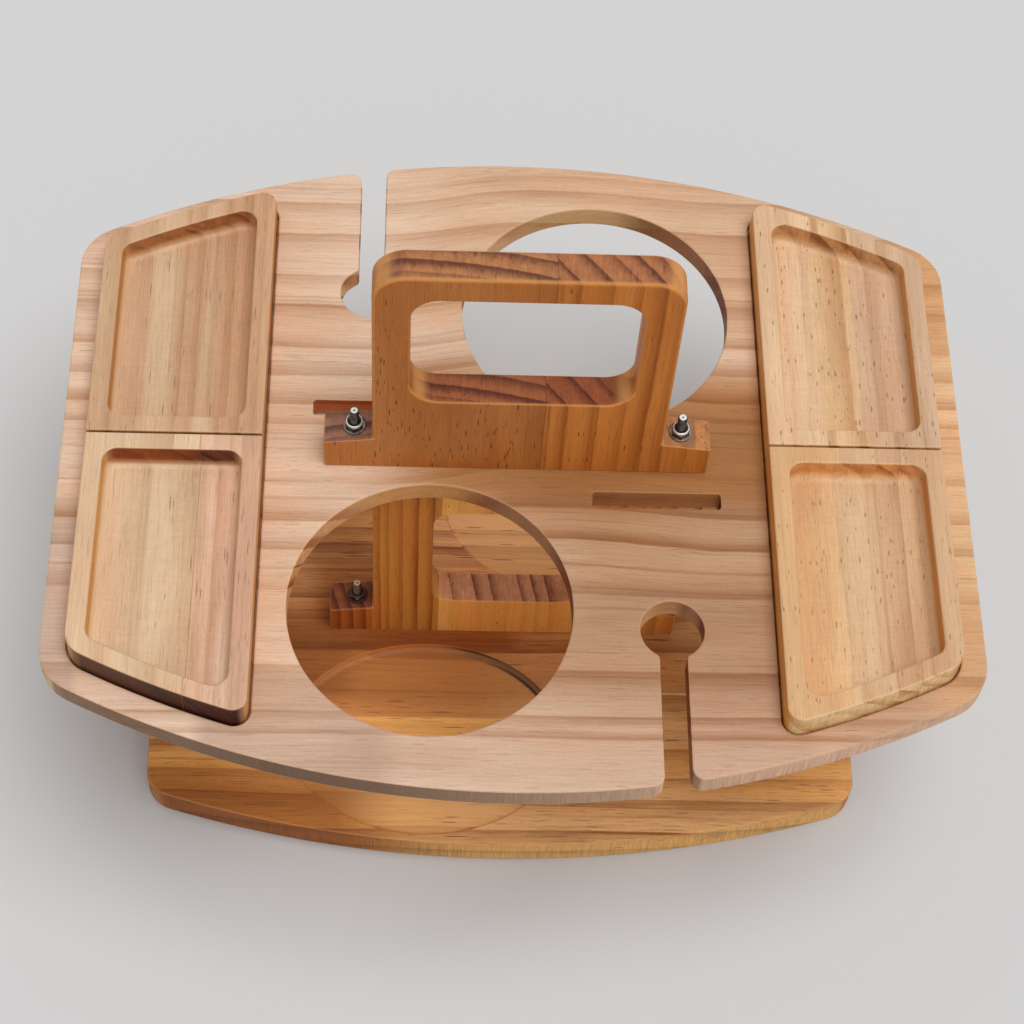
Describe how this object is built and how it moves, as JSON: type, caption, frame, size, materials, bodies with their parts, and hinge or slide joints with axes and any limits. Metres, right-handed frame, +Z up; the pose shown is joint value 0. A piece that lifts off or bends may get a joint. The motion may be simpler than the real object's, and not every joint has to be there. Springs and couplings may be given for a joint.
{
  "type": "picnic caddy tray",
  "caption": "Two-tier wooden picnic caddy: bowed serving board with bottle holes, glass slots and lift-out snack trays, bolted carrying handle, support frame and base board.",
  "frame": {"origin": "on the ground under the centre of the base board", "axes": "+X along the wide side towards the right-hand trays, +Y towards the back, +Z up"},
  "size_m": [0.38, 0.312, 0.2864],
  "materials": {
    "board_pine": "satin oiled pine, pale, grain along X",
    "base_pine": "satin oiled pine, honey, grain along X",
    "tray_pine": "satin oiled pine, pale honey, grain along Y",
    "frame_pine": "satin oiled pine, orange brown, grain along Z",
    "zinc_steel": "bright zinc plate"
  },
  "bodies": {
    "frame": {"base_board": "base_pine", "support_frame": "frame_pine", "top_board": "board_pine", "handle": "frame_pine", "bolt_handle_left": "zinc_steel", "washer_handle_left": "zinc_steel", "nut_handle_left": "zinc_steel", "bolt_handle_right": "zinc_steel", "washer_handle_right": "zinc_steel", "nut_handle_right": "zinc_steel", "bolt_base_left": "zinc_steel", "washer_base_left": "zinc_steel", "nut_base_left": "zinc_steel", "bolt_base_right": "zinc_steel", "washer_base_right": "zinc_steel", "nut_base_right": "zinc_steel"},
    "front_left_tray": {"tray_front_left": "tray_pine"},
    "back_left_tray": {"tray_back_left": "tray_pine"},
    "front_right_tray": {"tray_front_right": "tray_pine"},
    "back_right_tray": {"tray_back_right": "tray_pine"}
  },
  "joints": [
    {"name": "front_left_tray_lift", "type": "slide", "parent": "frame", "child": "front_left_tray", "axis": [0, 0, 1], "range_m": [0, 0.14]},
    {"name": "back_left_tray_lift", "type": "slide", "parent": "frame", "child": "back_left_tray", "axis": [0, 0, 1], "range_m": [0, 0.14]},
    {"name": "front_right_tray_lift", "type": "slide", "parent": "frame", "child": "front_right_tray", "axis": [0, 0, 1], "range_m": [0, 0.14]},
    {"name": "back_right_tray_lift", "type": "slide", "parent": "frame", "child": "back_right_tray", "axis": [0, 0, 1], "range_m": [0, 0.14]}
  ]
}
